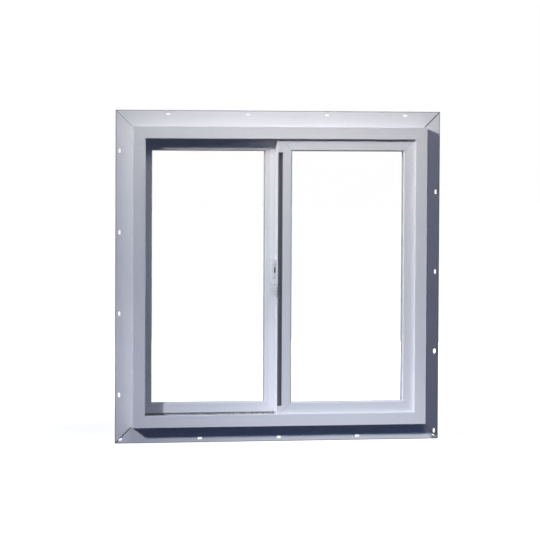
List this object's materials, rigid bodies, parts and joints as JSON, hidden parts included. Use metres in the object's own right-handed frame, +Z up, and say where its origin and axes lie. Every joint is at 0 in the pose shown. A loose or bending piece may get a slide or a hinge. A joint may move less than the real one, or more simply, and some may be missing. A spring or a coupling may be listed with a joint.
{
  "type": "horizontal sliding window",
  "caption": "Square vinyl sliding window with a mitred nail fin, a fixed lite behind and a room-side sash that slides sideways, with a finger pull and a thumb latch.",
  "frame": {"origin": "middle of the sill's underside, in the plane where the nail fin bears on the wall", "axes": "+X along the sill to the right as seen from the room, +Y from the room to the weather side, +Z up"},
  "size_m": [0.6604, 0.0635, 0.6605],
  "materials": {
    "white_vinyl": "satin extruded rigid PVC, bright white",
    "glass": "clear float glass",
    "glazing_gasket": "grey glazing tape",
    "spacer_bar": "mill finish spacer",
    "acetal": "moulded acetal",
    "latch_plastic": "moulded pale grey nylon",
    "steel_pin": "zinc plated"
  },
  "bodies": {
    "frame": {"fixed_bottom_bead": "white_vinyl", "fixed_bottom_rail": "white_vinyl", "fixed_gasket": "glazing_gasket", "fixed_jamb_stile": "white_vinyl", "fixed_left_bead": "white_vinyl", "fixed_left_head_block": "acetal", "fixed_left_sill_block": "acetal", "fixed_meeting_stile": "white_vinyl", "fixed_right_bead": "white_vinyl", "fixed_right_head_block": "acetal", "fixed_right_sill_block": "acetal", "fixed_room_pane": "glass", "fixed_spacer": "spacer_bar", "fixed_top_bead": "white_vinyl", "fixed_top_rail": "white_vinyl", "fixed_weather_pane": "glass", "head": "white_vinyl", "head_fin": "white_vinyl", "left_fin": "white_vinyl", "left_jamb": "white_vinyl", "right_fin": "white_vinyl", "right_jamb": "white_vinyl", "sill": "white_vinyl", "sill_fin": "white_vinyl"},
    "sash": {"latch_case": "latch_plastic", "latch_pin": "steel_pin", "sash_bottom_bead": "white_vinyl", "sash_bottom_rail": "white_vinyl", "sash_gasket": "glazing_gasket", "sash_jamb_stile": "white_vinyl", "sash_left_bead": "white_vinyl", "sash_left_glide": "acetal", "sash_left_guide": "acetal", "sash_meeting_stile": "white_vinyl", "sash_right_bead": "white_vinyl", "sash_right_glide": "acetal", "sash_right_guide": "acetal", "sash_room_pane": "glass", "sash_spacer": "spacer_bar", "sash_top_bead": "white_vinyl", "sash_top_rail": "white_vinyl", "sash_weather_pane": "glass"},
    "latch": {"latch_lever": "latch_plastic"}
  },
  "joints": [
    {"name": "sash_slide", "type": "slide", "parent": "frame", "child": "sash", "axis": [-1, 0, 0], "range_m": [0, 0.245]},
    {"name": "latch_pivot", "type": "hinge", "parent": "sash", "child": "latch", "pos_m": [-0.01145, -0.0099, 0.28645], "axis": [1, 0, 0], "range_deg": [0, 10], "stiffness_Nm_per_rad": 0.05, "springref_deg": -11.46}
  ]
}
